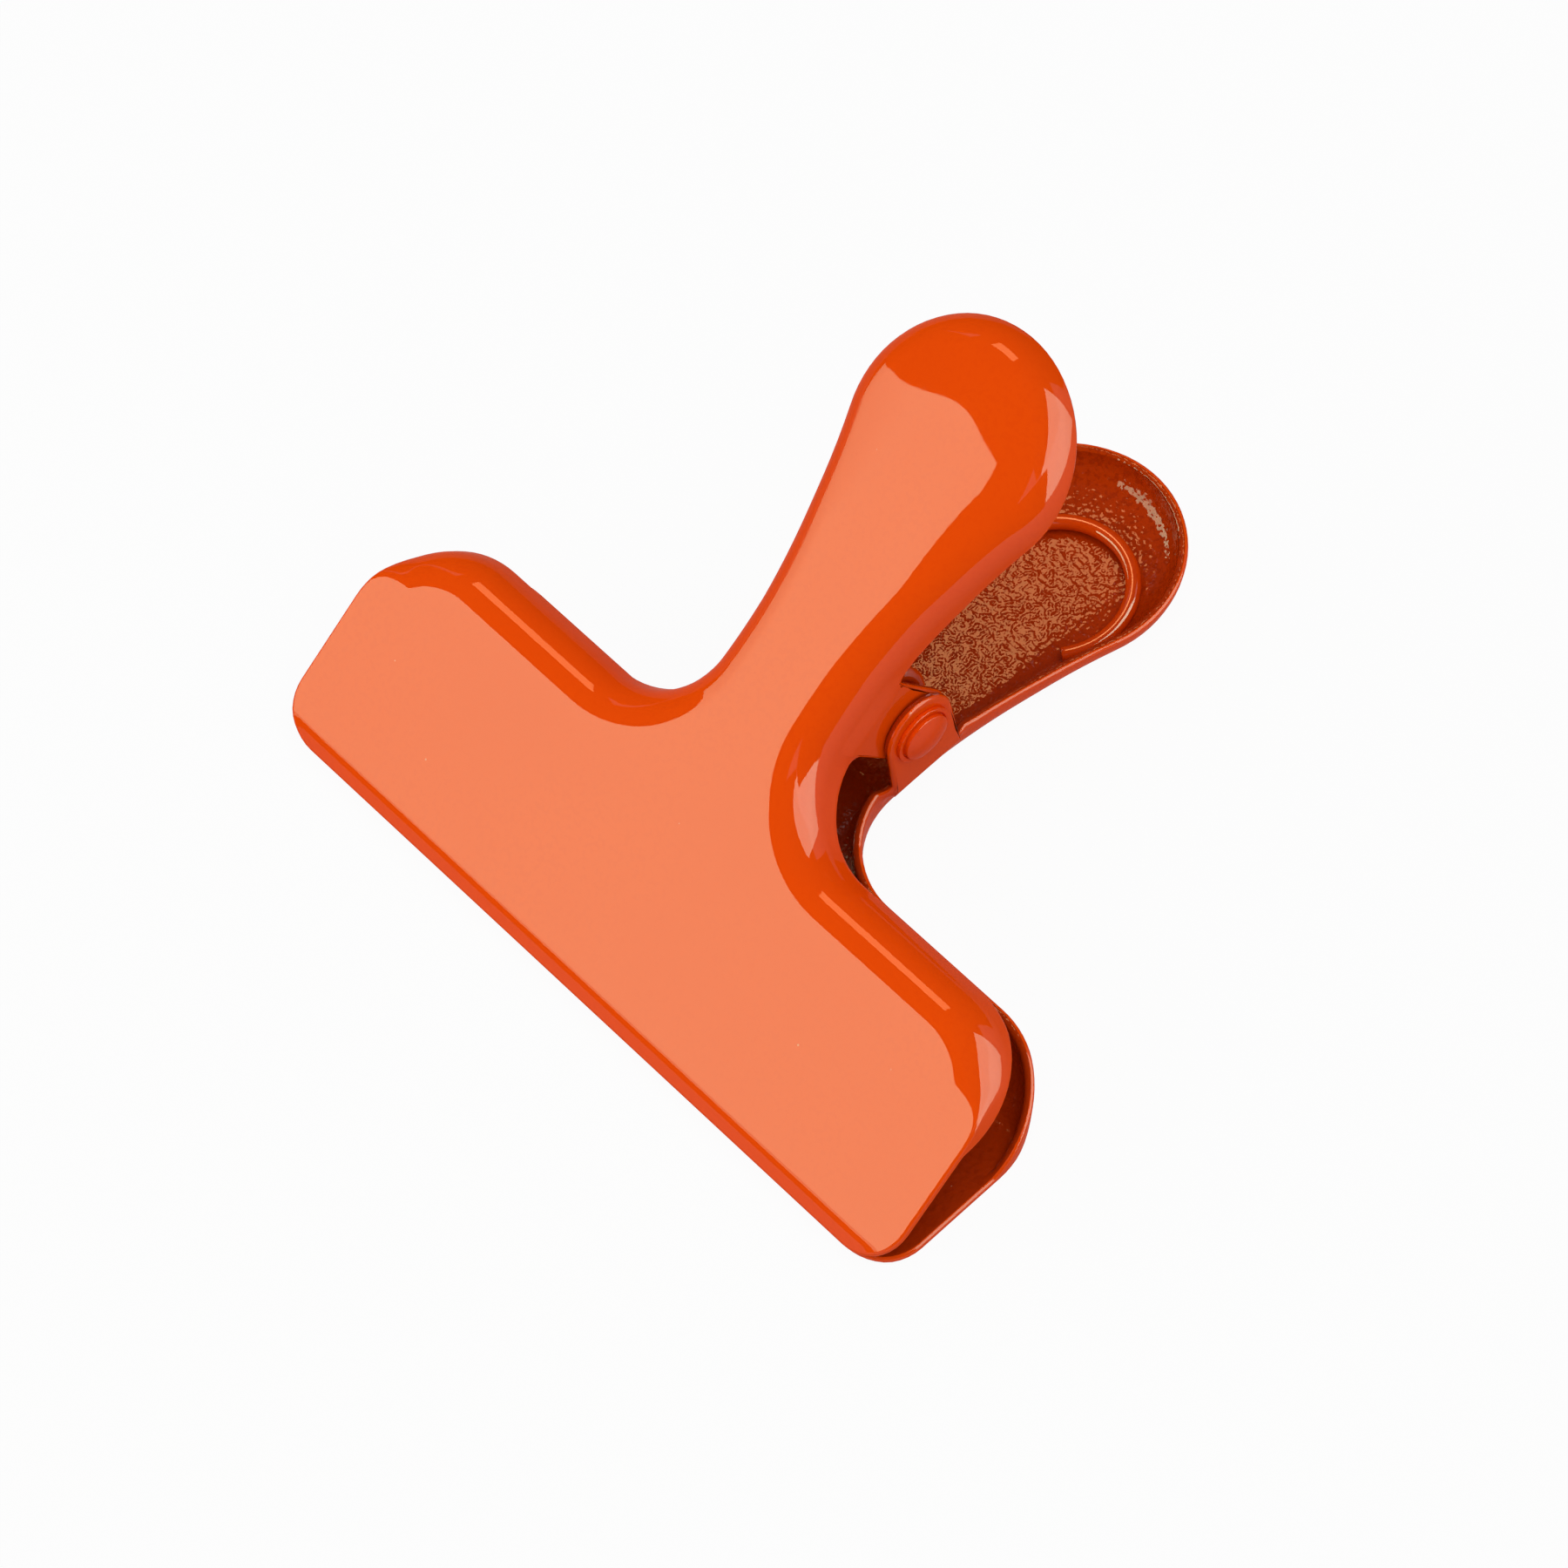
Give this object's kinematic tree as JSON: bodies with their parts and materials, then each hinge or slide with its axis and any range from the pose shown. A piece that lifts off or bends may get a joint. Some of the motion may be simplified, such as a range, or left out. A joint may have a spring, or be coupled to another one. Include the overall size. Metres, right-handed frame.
{
  "type": "metal clip",
  "caption": "Sprung sheet-metal clip with a wide flat jaw and two round-ended handles that turn on one rivet.",
  "frame": {"origin": "on the flat outer face of the rear plate, straight below the pivot", "axes": "+X along the lip of the jaw, +Y from the jaw towards the handles, +Z from the rear plate towards the front plate"},
  "size_m": [0.0754, 0.067, 0.0379],
  "materials": {
    "plate_lacquer": "gloss orange lacquer on pressed sheet steel",
    "rivet_lacquer": "gloss orange lacquer on a steel rivet",
    "spring_lacquer": "gloss orange lacquer on spring wire"
  },
  "bodies": {
    "rear_half": {"rear_plate": "plate_lacquer", "pivot_rivet": "rivet_lacquer", "spring_coil": "spring_lacquer", "spring_rear_leg": "spring_lacquer"},
    "front_half": {"front_plate": "plate_lacquer", "spring_front_leg": "spring_lacquer"}
  },
  "joints": [
    {"name": "jaw_hinge", "type": "hinge", "parent": "rear_half", "child": "front_half", "pos_m": [0, 0, 0.0113], "axis": [-1, 0, 0], "range_deg": [0, 50], "stiffness_Nm_per_rad": 0.31, "springref_deg": -57.3, "deforming": ["spring_coil"]}
  ]
}
